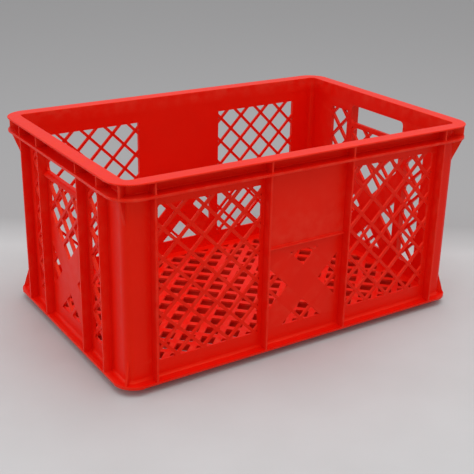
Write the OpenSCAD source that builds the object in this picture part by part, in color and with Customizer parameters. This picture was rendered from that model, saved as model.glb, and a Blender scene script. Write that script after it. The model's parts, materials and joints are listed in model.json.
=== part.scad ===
// Milk bottle crate: an open stacking crate with lattice walls, a lattice floor, a channel rim and a hand
// hole in each end. The moulding is divided into the regions of its wall, rim, rib and floor work.
// Millimetres, Z up, X along the long side, the origin under the middle of the foot ring.

/* [Overall size] */
// Outside length over the rim
length = 600; // [500:10:700]
// Outside width over the rim
width = 400; // [350:10:450]
// Overall height from the foot ring to the rim
height = 300; // [270:5:340]

/* [Rim channel] */
// Width of the rim's top face, from the cavity to the outer edge
rim_width = 21.5; // [18:0.5:26]
// Height of the rim channel, from its top face to the underside of its lower flange
rim_height = 23; // [18:1:30]
// Thickness of the rim's upper flange
upper_flange = 2.2; // [1.6:0.2:4]
// Thickness of the rim's lower flange
lower_flange = 4; // [2.5:0.5:5]
// Outer corner radius of the rim
rim_radius = 34; // [32:1:40]
// How far the small ribs in the channel stand back from the rim's edge
rim_rib_setback = 3; // [1:0.5:6]
// How far the rib across each corner stands back from the rim's edge
corner_rib_setback = 1; // [0.5:0.5:4]

/* [Walls] */
// Thickness of the long walls and of the ribs
wall = 3; // [2:0.25:4]
// Thickness of the end walls
end_wall = 4.5; // [3:0.25:6]
// Corner radius of the cavity at the rim
cavity_radius = 8; // [6:1:10]
// How far the wall's inner face stands back from the rim's inner face
wall_step = 0.25; // [0.25:0.25:1]
// Outer corner radius of the corner posts
post_radius = 12; // [8:1:20]

/* [Windows] */
// Height of the window sills above the foot
window_bottom = 39; // [30:1:50]
// Height of the window heads above the foot
window_top = 261; // [240:1:268]
// Distance from the middle of a long side to the near edge of its windows
side_window_start = 77; // [74:1:90]
// Width of a window in a long side
side_window_width = 158; // [120:1:160]
// Distance from the middle of an end to the near edge of its narrow windows
end_window_start = 76; // [72:1:84]
// Width of a narrow window in an end
end_window_width = 42; // [30:1:50]

/* [Wall lattice] */
// Spacing of the lattice crossings along a row
lattice_pitch = 41.4; // [30:0.2:50]
// Width of the lattice bars
lattice_bar = 4.6; // [3:0.2:7]
// Height of the lowest row of crossings above the foot
lattice_base = 41.2; // [36:0.2:46]

/* [Cross braces] */
// Height of the middle of the cross braces above the foot
brace_centre = 99; // [90:1:110]
// Width of the solid arms of the cross braces
brace_arm = 35.6; // [26:0.2:44]
// Height of the top of the openings in the long sides' cross braces
brace_top = 152; // [140:1:158]
// Distance from the middle of a bay to the sides of its brace openings
brace_reach = 61; // [50:1:64]

/* [Label plates] */
// Height of the underside of the label plates above the foot
label_bottom = 163; // [158:1:180]
// How far the label ledge stands out from the plate
ledge_depth = 4.5; // [2:0.5:8]
// Thickness of the label ledge
ledge_thickness = 2.5; // [2:0.5:4]

/* [Hand holes] */
// Width of the hand holes
hand_hole_width = 131; // [100:1:131]
// Height of the underside of the hand holes above the foot
hand_hole_bottom = 244; // [236:1:246]
// Height of the hand holes
hand_hole_height = 30; // [26:0.5:33]
// Corner radius of the hand holes
hand_hole_radius = 7; // [4:0.5:10]
// Height of the plain wall below the hand holes
grip_height = 8; // [6:1:14]
// Depth of the grip bars, outward from the wall's inner face
grip_depth = 10.5; // [10:0.5:14]
// Outer radius of the grip bars' rolled edge
grip_radius = 6; // [4:0.5:6]

/* [Fins] */
// Distance from the middle of a long side to its inner fins
side_fin_inner = 70; // [66:1:74]
// Distance from the middle of a long side to its outer fins
side_fin_outer = 245; // [240:1:250]
// Distance from the middle of an end to its inner fins
end_fin_inner = 68; // [67:0.5:74]
// Distance from the middle of an end to its outer fins
end_fin_outer = 134; // [122:1:140]
// Direction of the corner ribs and webs, from the long side
web_angle = 40; // [36:1:50]
// Height of the corner webs under the rim
upper_web = 36; // [20:1:50]
// Height of the corner webs on the base flange
lower_web = 32; // [15:1:40]

/* [Base] */
// How far the base flange stands back from the rim's outer edge
flange_setback = 4; // [2:1:8]
// Outer corner radius of the base flange
flange_radius = 32; // [24:1:38]
// Radius of the fillet between the base flange and the walls
base_fillet = 5; // [3:0.5:6]
// Thickness of the floor and the base flange
floor_thickness = 4; // [3:0.5:6]
// Height of the foot ring
foot_height = 11; // [6:1:16]
// How far the foot ring stands in from the cavity's face
foot_clearance = 4; // [2:0.5:8]
// Thickness of the foot ring
foot_wall = 3.5; // [2.5:0.5:6]
// Height of the ribs under the floor
floor_rib_height = 9; // [2:1:10]
// Spacing of the floor lattice crossings along a row
floor_pitch = 42.5; // [30:0.5:50]
// Width of the floor lattice bars
floor_bar = 9.5; // [6:0.5:14]
// Width of the plain border of the floor
floor_border = 15; // [10:1:40]

/* [Hidden] */

$fn = 96;
fit = 0.01;

// The rim's outer and inner faces, and where its straight runs end and its corners begin
half_length = length / 2;
half_width = width / 2;
cavity_x = half_length - rim_width;
cavity_y = half_width - rim_width;
corner_x = half_length - rim_radius;
corner_y = half_width - rim_radius;

// Wall faces
wall_in_x = cavity_x + wall_step;
wall_in_y = cavity_y + wall_step;
wall_in_radius = cavity_radius + wall_step;
wall_out_x = wall_in_x + end_wall;
wall_out_y = wall_in_y + wall;
post_x = wall_out_x - post_radius;
post_y = wall_out_y - post_radius;

// Levels
rim_bottom = height - rim_height;
floor_top = foot_height + floor_thickness;
hand_hole_top = hand_hole_bottom + hand_hole_height;
grip_bottom = hand_hole_bottom - grip_height;

// Base flange and foot
flange_x = half_length - flange_setback;
flange_y = half_width - flange_setback;
fillet_edge = 0.8;
foot_x = cavity_x - foot_clearance;
foot_y = cavity_y - foot_clearance;
foot_radius = cavity_radius - 2;
floor_window_x = wall_in_x - floor_border;
floor_window_y = wall_in_y - floor_border;

// Bays
end_bay = end_fin_inner - wall / 2;
arm_apex = brace_arm / sqrt(2);
corner_step = sqrt(2 * hand_hole_radius * fillet_edge);

// Corner webs: where the post's face is along them, and their width halfway and near the tip
web_along = (post_x - corner_x) * cos(web_angle) + (post_y - corner_y) * sin(web_angle);
web_aside = (post_x - corner_x) * sin(web_angle) - (post_y - corner_y) * cos(web_angle);
web_root = web_along + sqrt(post_radius * post_radius - web_aside * web_aside);
web_shoulder = 0.5;
web_toe = 0.1;

rim_long_front();
rim_long_rear();
rim_short_left();
rim_short_right();
rim_corner_front_left();
rim_corner_front_right();
rim_corner_rear_left();
rim_corner_rear_right();
corner_post_front_left();
corner_post_front_right();
corner_post_rear_left();
corner_post_rear_right();
side_head_front();
side_head_rear();
side_sill_front();
side_sill_rear();
side_lattice_front_left();
side_lattice_front_right();
side_lattice_rear_left();
side_lattice_rear_right();
label_plate_front();
label_plate_rear();
side_brace_front();
side_brace_rear();
end_head_left();
end_head_right();
end_sill_left();
end_sill_right();
end_lattice_left_front();
end_lattice_left_rear();
end_lattice_right_front();
end_lattice_right_rear();
grip_bar_left();
grip_bar_right();
grip_lattice_left();
grip_lattice_right();
end_brace_left();
end_brace_right();
side_fins_front();
side_fins_rear();
end_fins_left();
end_fins_right();
corner_webs_front_left();
corner_webs_front_right();
corner_webs_rear_left();
corner_webs_rear_right();
base_flange_front();
base_flange_rear();
base_flange_left();
base_flange_right();
base_corner_front_left();
base_corner_front_right();
base_corner_rear_left();
base_corner_rear_right();
floor_border_plate();
floor_lattice();
floor_ribs();
foot_ring();

// ---- Nodes ----

module rim_long_front() color("red") front() rim_long();
module rim_long_rear() color("red") rear() rim_long();
module rim_short_left() color("red") left() rim_short();
module rim_short_right() color("red") right() rim_short();
module rim_corner_front_left() color("red") front_left() rim_corner();
module rim_corner_front_right() color("red") front_right() rim_corner();
module rim_corner_rear_left() color("red") rear_left() rim_corner();
module rim_corner_rear_right() color("red") rear_right() rim_corner();
module corner_post_front_left() color("firebrick") front_left() corner_post();
module corner_post_front_right() color("firebrick") front_right() corner_post();
module corner_post_rear_left() color("firebrick") rear_left() corner_post();
module corner_post_rear_right() color("firebrick") rear_right() corner_post();
module side_head_front() color("firebrick") front() side_head();
module side_head_rear() color("firebrick") rear() side_head();
module side_sill_front() color("firebrick") front() side_sill();
module side_sill_rear() color("firebrick") rear() side_sill();
module side_lattice_front_left() color("tomato") front_left() side_lattice();
module side_lattice_front_right() color("tomato") front_right() side_lattice();
module side_lattice_rear_left() color("tomato") rear_left() side_lattice();
module side_lattice_rear_right() color("tomato") rear_right() side_lattice();
module label_plate_front() color("red") front() label_plate();
module label_plate_rear() color("red") rear() label_plate();
module side_brace_front() color("firebrick") front() side_brace();
module side_brace_rear() color("firebrick") rear() side_brace();
module end_head_left() color("firebrick") left() end_head();
module end_head_right() color("firebrick") right() end_head();
module end_sill_left() color("firebrick") left() end_sill();
module end_sill_right() color("firebrick") right() end_sill();
module end_lattice_left_front() color("tomato") front_left() end_lattice();
module end_lattice_left_rear() color("tomato") rear_left() end_lattice();
module end_lattice_right_front() color("tomato") front_right() end_lattice();
module end_lattice_right_rear() color("tomato") rear_right() end_lattice();
module grip_bar_left() color("red") left() grip_bar();
module grip_bar_right() color("red") right() grip_bar();
module grip_lattice_left() color("tomato") left() grip_lattice();
module grip_lattice_right() color("tomato") right() grip_lattice();
module end_brace_left() color("firebrick") left() end_brace();
module end_brace_right() color("firebrick") right() end_brace();
module side_fins_front() color("orangered") front() side_fins();
module side_fins_rear() color("orangered") rear() side_fins();
module end_fins_left() color("orangered") left() end_fins();
module end_fins_right() color("orangered") right() end_fins();
module corner_webs_front_left() color("orangered") front_left() corner_webs();
module corner_webs_front_right() color("orangered") front_right() corner_webs();
module corner_webs_rear_left() color("orangered") rear_left() corner_webs();
module corner_webs_rear_right() color("orangered") rear_right() corner_webs();
module base_flange_front() color("red") front() base_flange_long();
module base_flange_rear() color("red") rear() base_flange_long();
module base_flange_left() color("red") left() base_flange_short();
module base_flange_right() color("red") right() base_flange_short();
module base_corner_front_left() color("red") front_left() base_corner();
module base_corner_front_right() color("red") front_right() base_corner();
module base_corner_rear_left() color("red") rear_left() base_corner();
module base_corner_rear_right() color("red") rear_right() base_corner();

module floor_border_plate() {
    color("firebrick")
    translate([0, 0, foot_height])
    linear_extrude(floor_thickness)
    difference() {
        rounded_rectangle(wall_in_x, wall_in_y, wall_in_radius);
        square([2 * floor_window_x, 2 * floor_window_y], center = true);
    }
}

module floor_lattice() {
    color("tomato")
    translate([0, 0, foot_height])
    linear_extrude(floor_thickness)
    difference() {
        square([2 * floor_window_x, 2 * floor_window_y], center = true);
        lattice_holes(-floor_window_x, floor_window_x, -floor_window_y, floor_window_y,
            floor_pitch, floor_bar, 0);
    }
}

module floor_ribs() {
    rib_x = foot_x - foot_wall;
    rib_y = foot_y - foot_wall;
    color("firebrick")
    translate([0, 0, foot_height - floor_rib_height])
    linear_extrude(floor_rib_height)
    difference() {
        rounded_rectangle(rib_x, rib_y, foot_radius - foot_wall);
        lattice_holes(-rib_x, rib_x, -rib_y, rib_y, floor_pitch, wall, 0);
    }
}

module foot_ring() {
    color("firebrick")
    linear_extrude(foot_height)
    difference() {
        rounded_rectangle(foot_x, foot_y, foot_radius);
        rounded_rectangle(foot_x - foot_wall, foot_y - foot_wall, foot_radius - foot_wall);
    }
}

// ---- Regions of the moulding, drawn at the rear, at the right or at the rear right corner ----

module rim_long() {
    rim_straight(2 * corner_x, [-side_fin_outer, -side_fin_inner, side_fin_inner, side_fin_outer], cavity_y);
}

module rim_short() {
    rotate([0, 0, -90])
    rim_straight(2 * corner_y, [-end_fin_outer, -end_fin_inner, end_fin_inner, end_fin_outer], cavity_x);
}

// A straight run of the rim channel, with a small rib in line with each fin
module rim_straight(run, fins, face) {
    translate([-run / 2, face, height - upper_flange])
        cube([run, rim_width, upper_flange]);
    translate([-run / 2, face, rim_bottom])
        cube([run, wall, rim_height]);
    translate([-run / 2, face, rim_bottom])
        cube([run, rim_width, lower_flange]);
    for (x = fins) {
        translate([x - wall / 2, face, rim_bottom])
            cube([wall, rim_width - rim_rib_setback, rim_height]);
    }
}

// A corner of the rim channel, with one rib across it
module rim_corner() {
    translate([corner_x, corner_y, height - upper_flange])
        linear_extrude(upper_flange)
        corner_plate(rim_radius, rim_radius, rim_radius, 0);
    translate([corner_x, corner_y, rim_bottom])
        linear_extrude(lower_flange)
        corner_plate(rim_radius, rim_radius, rim_radius, 0);
    translate([corner_x, corner_y, rim_bottom])
        linear_extrude(rim_height)
        difference() {
            cavity_corner(wall);
            cavity_corner(0);
        }
    difference() {
        translate([0, 0, rim_bottom])
            web_slab(rim_radius - corner_rib_setback, rim_height);
        linear_extrude(height + fit)
            rounded_rectangle(cavity_x + wall / 2, cavity_y + wall / 2, cavity_radius + wall / 2);
    }
}

// A post between two walls
module corner_post() {
    translate([corner_x, corner_y, floor_top])
        linear_extrude(rim_bottom - floor_top)
        corner_plate(wall_out_x - corner_x, wall_out_y - corner_y, post_radius, wall_step);
}

module side_head() {
    side_panel()
    span(-corner_x, corner_x, window_top, rim_bottom);
}

module side_sill() {
    side_panel()
    span(-corner_x, corner_x, floor_top, window_bottom);
}

// A window lattice with the plain strip beside it, up to the corner post
module side_lattice() {
    window_end = side_window_start + side_window_width;
    side_panel()
    union() {
        difference() {
            span(side_window_start, window_end, window_bottom, window_top);
            lattice_holes(side_window_start, window_end, window_bottom, window_top,
                lattice_pitch, lattice_bar, 0);
        }
        span(window_end, corner_x, window_bottom, window_top);
    }
}

module label_plate() {
    ledge_half = side_fin_inner - wall / 2;
    side_panel()
        span(-side_window_start, side_window_start, label_bottom, window_top);
    translate([-ledge_half, wall_in_y, label_bottom])
        cube([2 * ledge_half, wall + ledge_depth, ledge_thickness]);
}

module side_brace() {
    side_panel()
    difference() {
        span(-side_window_start, side_window_start, window_bottom, label_bottom);
        intersection() {
            union() {
                brace_openings(brace_reach);
                opening_above(brace_top);
            }
            lattice_holes(-brace_reach, brace_reach, window_bottom, brace_top,
                lattice_pitch, lattice_bar, 0);
        }
    }
}

module end_head() {
    end_panel()
    difference() {
        union() {
            span(-corner_y, corner_y, window_top, rim_bottom);
            span(-end_bay, end_bay, hand_hole_bottom, rim_bottom);
        }
        hand_hole();
    }
}

// The hand hole's outline. Its lower corners are cut off just short of their thin edges.
module hand_hole() {
    half = hand_hole_width / 2;
    flat_half = half - hand_hole_radius + corner_step;
    translate([0, hand_hole_bottom + hand_hole_height / 2])
        rounded_rectangle(half, hand_hole_height / 2, hand_hole_radius);
    span(-flat_half, flat_half, hand_hole_bottom - fit, hand_hole_bottom + fillet_edge);
}

module end_sill() {
    end_panel()
    span(-corner_y, corner_y, floor_top, window_bottom);
}

// A narrow window lattice with the plain strips beside it
module end_lattice() {
    window_end = end_window_start + end_window_width;
    window_middle = end_window_start + end_window_width / 2;
    end_panel()
    union() {
        span(end_bay, end_window_start, window_bottom, window_top);
        difference() {
            span(end_window_start, window_end, window_bottom, window_top);
            lattice_holes(end_window_start, window_end, window_bottom, window_top,
                lattice_pitch, lattice_bar, window_middle - lattice_pitch / 2);
        }
        span(window_end, corner_y, window_bottom, window_top);
    }
}

// The grip bar: the top of the wall under the hand hole, rolled over outward
module grip_bar() {
    rolled = grip_depth - grip_radius;
    translate([wall_in_x, end_bay, 0])
        rotate([90, 0, 0])
        linear_extrude(2 * end_bay)
        union() {
            span(0, end_wall, grip_bottom, hand_hole_bottom);
            span(0, rolled, hand_hole_bottom - wall, hand_hole_bottom);
            translate([rolled, hand_hole_bottom - grip_radius])
                corner_arc(grip_radius - wall, grip_radius);
        }
}

// The lattice between the grip bar and the cross brace
module grip_lattice() {
    level = brace_shoulder();
    end_panel()
    union() {
        difference() {
            span(-brace_reach, brace_reach, level, grip_bottom);
            lattice_holes(-brace_reach, brace_reach, level, grip_bottom, lattice_pitch, lattice_bar, 0);
        }
        span(-end_bay, -brace_reach, level, grip_bottom);
        span(brace_reach, end_bay, level, grip_bottom);
    }
}

module end_brace() {
    level = brace_shoulder();
    end_panel()
    difference() {
        span(-end_bay, end_bay, window_bottom, level);
        intersection() {
            union() {
                brace_openings(brace_reach);
                opening_above(level);
            }
            lattice_holes(-brace_reach, brace_reach, window_bottom, level, lattice_pitch, lattice_bar, 0);
        }
    }
}

// Where the opening above an end's cross brace reaches the sides of the bay
function brace_shoulder() = brace_centre + arm_apex + brace_reach;

module side_fins() {
    difference() {
        for (x = [-side_fin_outer, -side_fin_inner, side_fin_inner, side_fin_outer]) {
            translate([x - wall / 2, wall_out_y, floor_top])
                cube([wall, flange_y - wall_out_y, rim_bottom - floor_top]);
        }
        fillet_long();
    }
}

module end_fins() {
    difference() {
        for (y = [-end_fin_outer, -end_fin_inner, end_fin_inner, end_fin_outer]) {
            translate([wall_out_x, y - wall / 2, floor_top])
                cube([flange_x - wall_out_x, wall, rim_bottom - floor_top]);
        }
        fillet_short();
    }
}

// The two tapering webs across the corner, one under the rim and one on the base flange
module corner_webs() {
    rim_reach = rim_radius - corner_rib_setback;
    flange_step = (flange_setback + flange_radius - rim_radius) * sqrt(2);
    flange_reach = flange_radius - corner_rib_setback - flange_step;
    difference() {
        translate([corner_x, corner_y, 0])
            rotate([90, 0, web_angle])
            linear_extrude(wall, center = true)
            union() {
                web_outline(rim_reach, rim_bottom, -upper_web);
                web_outline(flange_reach, floor_top, lower_web);
            }
        linear_extrude(height)
            rounded_rectangle(wall_out_x, wall_out_y, post_radius);
    }
}

// A web's outline: it starts at a flange and runs down or up the post, a little hollow
module web_outline(reach, level, rise) {
    foot = reach - web_root;
    polygon([
        [0, level],
        [reach, level],
        [web_root + web_shoulder * foot, level + rise / 2],
        [web_root + web_toe * foot, level + rise * 7 / 8],
        [web_root, level + rise],
        [0, level + rise]
    ]);
}

module base_flange_long() {
    translate([-corner_x, wall_in_y, foot_height])
        cube([2 * corner_x, flange_y - wall_in_y, floor_thickness]);
    fillet_long();
}

module base_flange_short() {
    translate([wall_in_x, -corner_y, foot_height])
        cube([flange_x - wall_in_x, 2 * corner_y, floor_thickness]);
    fillet_short();
}

module base_corner() {
    translate([corner_x, corner_y, foot_height])
        linear_extrude(floor_thickness)
        corner_plate(flange_x - corner_x, flange_y - corner_y, flange_radius, wall_step);
    difference() {
        fillet_corner();
        web_slab(rim_radius, height);
    }
}

// The hollow fillet between the base flange and a long wall
module fillet_long() {
    translate([-corner_x, wall_out_y, floor_top])
        rotate([90, 0, 90])
        linear_extrude(2 * corner_x)
        fillet_profile();
}

module fillet_short() {
    translate([wall_out_x, corner_y, floor_top])
        rotate([90, 0, 0])
        linear_extrude(2 * corner_y)
        fillet_profile();
}

module fillet_corner() {
    translate([corner_x, wall_out_y, floor_top])
        rotate([90, 0, 90])
        linear_extrude(post_x - corner_x)
        fillet_profile();
    translate([wall_out_x, post_y, floor_top])
        rotate([90, 0, 0])
        linear_extrude(post_y - corner_y)
        fillet_profile();
    translate([post_x, post_y, floor_top])
        rotate_extrude(angle = 90)
        translate([post_radius, 0])
        fillet_profile();
}

// A plate across the corner, in the plane of the corner's ribs and webs
module web_slab(reach, rise) {
    translate([corner_x, corner_y, 0])
        rotate([0, 0, web_angle])
        translate([0, -wall / 2, 0])
        cube([reach, wall, rise]);
}

// ---- Places ----

module front() mirror([0, 1, 0]) children();
module rear() children();
module left() mirror([1, 0, 0]) children();
module right() children();
module front_left() front() left() children();
module front_right() front() children();
module rear_left() left() children();
module rear_right() children();

// A flat outline stood up in the rear wall, x along the wall and y up
module side_panel() {
    translate([0, wall_out_y, 0])
        rotate([90, 0, 0])
        linear_extrude(wall)
        children();
}

// A flat outline stood up in the right-hand end wall
module end_panel() {
    translate([wall_in_x, 0, 0])
        rotate([90, 0, 90])
        linear_extrude(end_wall)
        children();
}

// ---- Flat outlines ----

module span(low_x, high_x, low_y, high_y) {
    translate([low_x, low_y])
        square([high_x - low_x, high_y - low_y]);
}

module rounded_rectangle(half_x, half_y, radius) {
    square([2 * (half_x - radius), 2 * half_y], center = true);
    square([2 * half_x, 2 * (half_y - radius)], center = true);
    for (x = [-1, 1], y = [-1, 1]) {
        translate([x * (half_x - radius), y * (half_y - radius)])
            circle(r = radius);
    }
}

// A corner plate from the cavity's corner outward, its inner edge set out by a step
module corner_plate(size_x, size_y, outer_radius, step) {
    difference() {
        rounded_corner(size_x, size_y, outer_radius);
        cavity_corner(step);
    }
}

// The cavity's corner, grown by a step
module cavity_corner(step) {
    rounded_corner(cavity_x - corner_x + step, cavity_y - corner_y + step, cavity_radius + step);
}

module rounded_corner(size_x, size_y, radius) {
    intersection() {
        square([size_x, size_y]);
        union() {
            square([size_x, size_y - radius]);
            square([size_x - radius, size_y]);
            translate([size_x - radius, size_y - radius])
                circle(r = radius);
        }
    }
}

// The base fillet's section: the corner outside a circle, cut off just short of its thin edges
module fillet_profile() {
    difference() {
        square(base_fillet - fillet_edge);
        translate([base_fillet, base_fillet])
            circle(r = base_fillet);
    }
}

module corner_arc(inner, outer) {
    intersection() {
        square(outer);
        difference() {
            circle(r = outer);
            circle(r = inner);
        }
    }
}

// The diamond holes of a lattice over a rectangle. Crossings lie on rows half a pitch apart, every other row
// shifted by half a pitch.
module lattice_holes(low_x, high_x, low_y, high_y, pitch, bar, shift) {
    half = pitch / 2;
    base = low_y < 0 ? half : lattice_base;
    side = pitch / sqrt(2) - bar;
    for (i = [floor((low_x - shift) / half) : ceil((high_x - shift) / half)]) {
        for (j = [floor((low_y - base) / half) : ceil((high_y - base) / half)]) {
            if ((i + j) % 2 != 0) {
                translate([shift + i * half, base + j * half])
                    rotate(45)
                    square(side, center = true);
            }
        }
    }
}

// The side and lower openings of a cross brace
module brace_openings(reach) {
    drop = brace_centre - arm_apex - window_bottom;
    for (side = [-1, 1]) {
        polygon([
            [side * arm_apex, brace_centre],
            [side * reach, brace_centre + reach - arm_apex],
            [side * reach, brace_centre - reach + arm_apex]
        ]);
    }
    polygon([
        [0, window_bottom + drop],
        [drop, window_bottom],
        [-drop, window_bottom]
    ]);
}

// The upper opening of a cross brace, up to a level
module opening_above(level) {
    rise = level - brace_centre - arm_apex;
    polygon([
        [0, level - rise],
        [rise, level],
        [-rise, level]
    ]);
}
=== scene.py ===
"""The milk bottle crate's looks: every region of the moulding, with rounded edges and in red polyethylene.

Lengths are in metres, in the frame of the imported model: Z up, X along the long side, the origin on the floor.
"""

import json
import math

import bmesh
import bpy
from mathutils import Matrix, Vector
from mathutils.bvhtree import BVHTree


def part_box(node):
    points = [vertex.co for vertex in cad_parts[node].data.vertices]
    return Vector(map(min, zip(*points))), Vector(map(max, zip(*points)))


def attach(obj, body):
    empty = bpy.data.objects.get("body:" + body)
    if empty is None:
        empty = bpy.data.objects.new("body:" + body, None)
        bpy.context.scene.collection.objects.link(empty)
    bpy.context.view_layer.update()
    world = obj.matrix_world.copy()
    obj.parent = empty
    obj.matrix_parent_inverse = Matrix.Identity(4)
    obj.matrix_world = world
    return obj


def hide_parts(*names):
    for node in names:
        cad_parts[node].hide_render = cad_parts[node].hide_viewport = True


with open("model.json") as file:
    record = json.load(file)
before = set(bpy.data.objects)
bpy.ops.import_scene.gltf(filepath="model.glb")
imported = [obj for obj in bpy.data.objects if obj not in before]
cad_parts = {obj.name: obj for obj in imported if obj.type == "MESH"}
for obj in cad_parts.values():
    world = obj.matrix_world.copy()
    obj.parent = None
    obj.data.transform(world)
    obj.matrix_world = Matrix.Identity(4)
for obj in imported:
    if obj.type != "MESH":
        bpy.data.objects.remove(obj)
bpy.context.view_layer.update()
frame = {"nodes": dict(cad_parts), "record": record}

MM = 0.001

# ---- Camera ----

CAMERA_PLACE = Vector((-0.7518, -1.1550, 0.6669))
CAMERA_AZIMUTH = math.radians(-33.19)
CAMERA_ELEVATION = math.radians(22.145)
CAMERA_ROLL = math.radians(1.243)
CAMERA_LENS = 70.78
SENSOR_WIDTH = 36.0


def make_camera():
    """The scene's camera. It looks down at the crate from the front left."""
    sin_a, cos_a = math.sin(CAMERA_AZIMUTH), math.cos(CAMERA_AZIMUTH)
    sin_e, cos_e = math.sin(CAMERA_ELEVATION), math.cos(CAMERA_ELEVATION)
    back = Vector((sin_a * cos_e, -cos_a * cos_e, sin_e))
    level = Vector((cos_a, sin_a, 0.0))
    upright = back.cross(level)
    right = level * math.cos(CAMERA_ROLL) + upright * math.sin(CAMERA_ROLL)
    up = upright * math.cos(CAMERA_ROLL) - level * math.sin(CAMERA_ROLL)
    data = bpy.data.cameras.new("camera")
    data.lens = CAMERA_LENS
    data.sensor_width = SENSOR_WIDTH
    data.clip_start = 0.01
    data.clip_end = 50.0
    camera = bpy.data.objects.new("camera", data)
    camera.matrix_world = Matrix.Translation(CAMERA_PLACE) @ Matrix((right, up, back)).transposed().to_4x4()
    bpy.context.scene.collection.objects.link(camera)
    bpy.context.scene.camera = camera


# ---- Shader nodes ----

SCRATCH_WIDTH = 0.012


def math_node(tree, operation, first, second):
    """A math node on two inputs, each a socket or a number."""
    node = tree.nodes.new("ShaderNodeMath")
    node.operation = operation
    for socket, value in zip(node.inputs, (first, second)):
        if isinstance(value, (int, float)):
            socket.default_value = value
        else:
            tree.links.new(value, socket)
    return node.outputs[0]


def noise_node(tree, vector, scale, detail, roughness=0.5):
    """A noise texture's value, on a vector socket."""
    node = tree.nodes.new("ShaderNodeTexNoise")
    node.inputs["Scale"].default_value = scale
    node.inputs["Detail"].default_value = detail
    node.inputs["Roughness"].default_value = roughness
    tree.links.new(vector, node.inputs["Vector"])
    return node.outputs["Fac"]


def range_node(tree, value, low, high, to_low, to_high):
    """value from the range low to high, clamped and moved to another range."""
    node = tree.nodes.new("ShaderNodeMapRange")
    tree.links.new(value, node.inputs["Value"])
    for name, number in (("From Min", low), ("From Max", high), ("To Min", to_low), ("To Max", to_high)):
        node.inputs[name].default_value = number
    return node.outputs[0]


def mix_node(tree, share, first, second):
    """Two colours mixed by a share. Each colour is a socket or three numbers."""
    node = tree.nodes.new("ShaderNodeMix")
    node.data_type = "RGBA"
    tree.links.new(share, node.inputs["Factor"])
    for name, value in (("A", first), ("B", second)):
        socket = [s for s in node.inputs if s.name == name and s.type == "RGBA"][0]
        if isinstance(value, tuple):
            socket.default_value = (*value, 1.0)
        else:
            tree.links.new(value, socket)
    return [s for s in node.outputs if s.type == "RGBA"][0]


def scratch_node(tree, vector, angle, stretch, scale):
    """Fine scratches along one direction: a noise stretched along it, cut down to thin lines."""
    turn = tree.nodes.new("ShaderNodeMapping")
    turn.inputs["Rotation"].default_value = angle
    turn.inputs["Scale"].default_value = stretch
    tree.links.new(vector, turn.inputs["Vector"])
    value = noise_node(tree, turn.outputs["Vector"], scale, 2.0)
    ridge = math_node(tree, "ABSOLUTE", math_node(tree, "SUBTRACT", value, 0.5), 0.0)
    return range_node(tree, ridge, 0.0, SCRATCH_WIDTH, 1.0, 0.0)


# ---- Light and floor ----

HORIZON_SKY = (0.30, 0.30, 0.31)
TOP_SKY = (1.0, 1.0, 1.0)
SKY_STRENGTH = 0.88

FLOOR_REACH = 60.0
FLOOR_ROUGHNESS = 0.75
PALE_FLOOR = ((0.532, 0.538, 0.543), (0.557, 0.564, 0.571))
GREY_FLOOR = (0.362, 0.358, 0.363)
# The floor turns grey along this direction, between these distances from the crate's middle.
GREY_DIRECTION = (0.547, 0.837, 0.0)
GREY_START, GREY_END = 0.20, 0.34


def make_world():
    """A soft overcast dome: brightest overhead, greyer towards the horizon."""
    world = bpy.data.worlds.new("dome")
    world.use_nodes = True
    nodes, links = world.node_tree.nodes, world.node_tree.links
    nodes.clear()
    place = nodes.new("ShaderNodeTexCoord")
    split = nodes.new("ShaderNodeSeparateXYZ")
    ramp = nodes.new("ShaderNodeValToRGB")
    shade = nodes.new("ShaderNodeBackground")
    out = nodes.new("ShaderNodeOutputWorld")
    ramp.color_ramp.elements[0].position = 0.0
    ramp.color_ramp.elements[0].color = (*HORIZON_SKY, 1.0)
    ramp.color_ramp.elements[1].position = 0.85
    ramp.color_ramp.elements[1].color = (*TOP_SKY, 1.0)
    shade.inputs["Strength"].default_value = SKY_STRENGTH
    links.new(place.outputs["Generated"], split.inputs[0])
    links.new(split.outputs["Z"], ramp.inputs["Fac"])
    links.new(ramp.outputs["Color"], shade.inputs["Color"])
    links.new(shade.outputs[0], out.inputs["Surface"])
    bpy.context.scene.world = world


def soft_light(name, place, target, width, height, power):
    """A rectangular softbox at place, facing target."""
    data = bpy.data.lights.new(name, "AREA")
    data.shape = "RECTANGLE"
    data.size = width
    data.size_y = height
    data.energy = power
    light = bpy.data.objects.new(name, data)
    light.location = place
    light.rotation_mode = "QUATERNION"
    light.rotation_quaternion = (Vector(target) - Vector(place)).to_track_quat("-Z", "Y")
    bpy.context.scene.collection.objects.link(light)


def make_lights():
    """One wide light overhead, a tall one behind the crate's left end and a low one in front."""
    soft_light("overhead", (0.2, -0.3, 2.4), (0.0, 0.0, 0.2), 2.4, 2.4, 27.5)
    soft_light("tall_left", (-1.75, 0.85, 0.45), (0.0, 0.0, 0.15), 0.35, 0.9, 5.0)
    soft_light("low_front", (-0.9, -2.3, 0.4), (0.0, 0.0, 0.05), 2.0, 0.6, 3.6)


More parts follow.
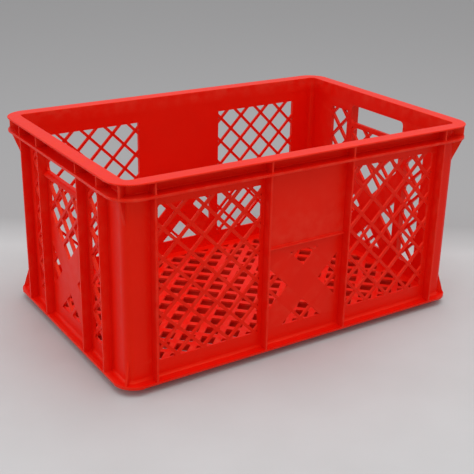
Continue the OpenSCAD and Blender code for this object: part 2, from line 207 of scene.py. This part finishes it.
def make_floor():
    """The plain floor: pale under and in front of the crate, greyer behind it."""
    mesh = bpy.data.meshes.new("floor")
    bm = bmesh.new()
    bmesh.ops.create_grid(bm, x_segments=1, y_segments=1, size=FLOOR_REACH)
    bm.to_mesh(mesh)
    bm.free()
    floor = bpy.data.objects.new("floor", mesh)
    bpy.context.scene.collection.objects.link(floor)
    paint = bpy.data.materials.new("pale_floor")
    paint.use_nodes = True
    tree = paint.node_tree
    shader = tree.nodes["Principled BSDF"]
    shader.inputs["Roughness"].default_value = FLOOR_ROUGHNESS
    place = tree.nodes.new("ShaderNodeTexCoord").outputs["Object"]
    mottle = range_node(tree, noise_node(tree, place, 9.0, 5.0), 0.3, 0.7, 0.0, 1.0)
    pale = mix_node(tree, mottle, *PALE_FLOOR)
    behind = tree.nodes.new("ShaderNodeVectorMath")
    behind.operation = "DOT_PRODUCT"
    behind.inputs[1].default_value = GREY_DIRECTION
    tree.links.new(place, behind.inputs[0])
    far = range_node(tree, behind.outputs["Value"], GREY_START, GREY_END, 0.0, 1.0)
    tree.links.new(mix_node(tree, far, pale, GREY_FLOOR), shader.inputs["Base Color"])
    mesh.materials.append(paint)


# ---- Red polyethylene ----

PIGMENT = (0.86, 0.0062, 0.0014)
PIGMENT_DEEP = (0.82, 0.0050, 0.0012)
SCUFF = (0.86, 0.09, 0.05)
SHINE_TINT = (1.0, 0.75, 0.3, 1.0)
ROUGHNESS = (0.30, 0.42)

# How strongly rubbed edges and scratches show in the colour and in the roughness.
RUBBED_COLOUR, SCRATCHED_COLOUR = 0.35, 0.2
RUBBED_ROUGHNESS, SCRATCHED_ROUGHNESS = 0.10, 0.12

# The share of each feature in the surface's height.
GRAIN_HEIGHT, RIPPLE_HEIGHT, SCRATCH_DEPTH = 0.25, 0.4, 0.1


def polyethylene(name, gloss, scuffing):
    """Moulded red polyethylene. gloss lowers its roughness, and scuffing strengthens its wear."""
    paint = bpy.data.materials.new(name)
    paint.use_nodes = True
    tree = paint.node_tree
    shader = tree.nodes["Principled BSDF"]
    shader.inputs["IOR"].default_value = 1.45
    shader.inputs["Specular IOR Level"].default_value = 0.25
    shader.inputs["Specular Tint"].default_value = SHINE_TINT
    place = tree.nodes.new("ShaderNodeTexCoord").outputs["Object"]

    cloud = noise_node(tree, place, 11.0, 3.0)
    patch = noise_node(tree, place, 70.0, 4.0)
    grain = noise_node(tree, place, 1100.0, 2.0)
    ripple = noise_node(tree, place, 160.0, 1.0)

    long_scratches = scratch_node(tree, place, (0.3, 0.5, 0.2), (1.0, 14.0, 14.0), 22.0)
    cross_scratches = scratch_node(tree, place, (0.9, 0.2, 1.1), (16.0, 16.0, 1.0), 20.0)
    either = math_node(tree, "MAXIMUM", long_scratches, cross_scratches)
    worn_zone = range_node(tree, patch, 0.48, 0.72, 0.0, 1.0)
    scratches = math_node(tree, "MULTIPLY", either, worn_zone)

    wear = tree.nodes.new("ShaderNodeAttribute")
    wear.attribute_name = "wear"
    edge = math_node(tree, "MULTIPLY", wear.outputs["Fac"], range_node(tree, patch, 0.4, 0.7, 0.15, 1.0))

    colour = mix_node(tree, range_node(tree, cloud, 0.35, 0.65, 0.0, 1.0), PIGMENT, PIGMENT_DEEP)
    rubbed = math_node(tree, "MULTIPLY", edge, RUBBED_COLOUR * scuffing)
    colour = mix_node(tree, rubbed, colour, SCUFF)
    scratched = math_node(tree, "MULTIPLY", scratches, SCRATCHED_COLOUR * scuffing)
    colour = mix_node(tree, scratched, colour, SCUFF)
    tree.links.new(colour, shader.inputs["Base Color"])

    rough = range_node(tree, patch, 0.3, 0.7, ROUGHNESS[0] - gloss, ROUGHNESS[1] - gloss)
    rough = math_node(tree, "ADD", rough, math_node(tree, "MULTIPLY", scratches, SCRATCHED_ROUGHNESS))
    rough = math_node(tree, "ADD", rough, math_node(tree, "MULTIPLY", edge, RUBBED_ROUGHNESS))
    tree.links.new(rough, shader.inputs["Roughness"])

    height = math_node(tree, "MULTIPLY", grain, GRAIN_HEIGHT)
    height = math_node(tree, "ADD", height, math_node(tree, "MULTIPLY", ripple, RIPPLE_HEIGHT))
    height = math_node(tree, "SUBTRACT", height, math_node(tree, "MULTIPLY", scratches, SCRATCH_DEPTH))
    bump = tree.nodes.new("ShaderNodeBump")
    bump.inputs["Strength"].default_value = 0.35
    bump.inputs["Distance"].default_value = 0.12 * MM
    tree.links.new(height, bump.inputs["Height"])
    tree.links.new(bump.outputs["Normal"], shader.inputs["Normal"])
    return paint


# ---- The moulding's regions ----

SHARP_ANGLE = math.radians(30.0)
SMOOTH_ANGLE = math.radians(52.0)
FLAT_ANGLE = math.radians(0.4)
PROBE_IN = 0.45 * MM
PROBE_OUT = 0.2 * MM
PROBE_SPACING = 12.0 * MM
PROBE_RAY = Vector((0.3119, 0.5237, 0.7926)).normalized()
PAST_FACE = 0.001 * MM
WELD = 0.01 * MM


def solid_trees():
    """For each CAD node, its box and a tree of its faces, to ask whether a point is inside it."""
    trees = {}
    for name, node in frame["nodes"].items():
        corners = [v.co.copy() for v in node.data.vertices]
        faces = [tuple(p.vertices) for p in node.data.polygons]
        trees[name] = (*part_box(name), BVHTree.FromPolygons(corners, faces))
    return trees


def inside_any(point, solids):
    """Whether a point is inside one of the solids, by counting the faces that a ray from it crosses."""
    for low, high, tree in solids:
        if all(low[i] <= point[i] <= high[i] for i in range(3)):
            crossings = 0
            start = point
            while True:
                hit = tree.ray_cast(start, PROBE_RAY)
                if hit[0] is None:
                    break
                crossings += 1
                start = hit[0] + PROBE_RAY * PAST_FACE
            if crossings % 2:
                return True
    return False


def points_into(face, edge, direction):
    """Whether direction points from the edge into the face, by the face's winding."""
    for loop in face.loops:
        if loop.edge == edge:
            along = loop.link_loop_next.vert.co - loop.vert.co
            return face.normal.cross(along).dot(direction) > 0
    return False


def touches_neighbour(edge, solids):
    """Whether either face of an edge lies against another region close to the edge."""
    along = edge.verts[1].co - edge.verts[0].co
    steps = max(1, math.ceil(along.length / PROBE_SPACING))
    for face in edge.link_faces:
        inward = face.normal.cross(along).normalized()
        if not points_into(face, edge, inward):
            inward = -inward
        for k in range(steps):
            spot = edge.verts[0].co + along * ((k + 0.5) / steps)
            if inside_any(spot + inward * PROBE_IN + face.normal * PROBE_OUT, solids):
                return True
    return False


def neighbours(name, solids):
    """The solids whose boxes come within a millimetre of the named one's."""
    low, high, _ = solids[name]
    near = []
    for other, (other_low, other_high, tree) in solids.items():
        beside = all(other_low[i] < high[i] + MM and other_high[i] > low[i] - MM for i in range(3))
        if other != name and beside:
            near.append((other_low, other_high, tree))
    return near


def free_edges(bm, near, convex):
    """The sharp outer edges, or the sharp inner ones, that lie against no neighbouring region."""
    found = []
    for edge in bm.edges:
        if len(edge.link_faces) == 2 and edge.is_convex == convex and edge.calc_face_angle() > SHARP_ANGLE:
            if not touches_neighbour(edge, near):
                found.append(edge)
    return found


def round_edges(bm, edges, radius, segments):
    """Rounds edges, and gives the faces that this makes."""
    if not edges:
        return []
    made = bmesh.ops.bevel(
        bm, geom=edges, offset=radius, offset_type="OFFSET", segments=segments, profile=0.5,
        affect="EDGES", clamp_overlap=True,
    )
    bm.normal_update()
    return made["faces"]


def mould(name, solids, material, edge_radius, corner_radius):
    """A new piece in place of a CAD node: its shape, with free edges rounded and inner corners filleted."""
    near = neighbours(name, solids)
    bm = bmesh.new()
    bm.from_mesh(frame["nodes"][name].data)
    bmesh.ops.remove_doubles(bm, verts=bm.verts, dist=WELD)
    bmesh.ops.dissolve_limit(bm, angle_limit=FLAT_ANGLE, verts=bm.verts, edges=bm.edges)
    bmesh.ops.connect_verts_concave(bm, faces=bm.faces)
    bm.normal_update()

    if corner_radius:
        round_edges(bm, free_edges(bm, near, False), corner_radius, 3)
    wear = bm.verts.layers.float.new("wear")
    for face in round_edges(bm, free_edges(bm, near, True), edge_radius, 2):
        for vert in face.verts:
            vert[wear] = 1.0

    for face in bm.faces:
        face.smooth = True
    for edge in bm.edges:
        edge.smooth = not (len(edge.link_faces) == 2 and edge.calc_face_angle() > SMOOTH_ANGLE)
    mesh = bpy.data.meshes.new(f"moulded_{name}")
    bm.to_mesh(mesh)
    bm.free()
    mesh.materials.append(material)
    piece = bpy.data.objects.new(f"moulded_{name}", mesh)
    bpy.context.scene.collection.objects.link(piece)
    weighted = piece.modifiers.new("flat_faces", "WEIGHTED_NORMAL")
    weighted.keep_sharp = True
    weighted.weight = 80
    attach(piece, "root")
    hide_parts(name)


# The radius of the free edges by the first word of a region's name, and of every other region's.
EDGE_RADIUS = {"rim": 1.0 * MM, "floor": 0.6 * MM, "foot": 0.6 * MM, "base": 1.2 * MM}
DEFAULT_EDGE_RADIUS = 0.5 * MM
CORNER_RADIUS = 1.2 * MM


def make_crate():
    """Every region of the crate, each with the material of its slot in the record."""
    paints = {
        "rim_plastic": polyethylene("rim_polyethylene", 0.02, 1.0),
        "wall_plastic": polyethylene("wall_polyethylene", 0.0, 0.7),
        "floor_plastic": polyethylene("floor_polyethylene", -0.04, 1.3),
    }
    solids = solid_trees()
    for part in frame["record"]["subparts"]:
        name, slot = part["node"], part["material_slot"]
        radius = EDGE_RADIUS.get(name.split("_")[0], DEFAULT_EDGE_RADIUS)
        corner_radius = 0.0 if name.startswith("rim_corner") else CORNER_RADIUS
        mould(name, solids, paints[slot], radius, corner_radius)


make_camera()
make_world()
make_lights()
make_floor()
make_crate()

bpy.context.scene.view_settings.view_transform = "Standard"
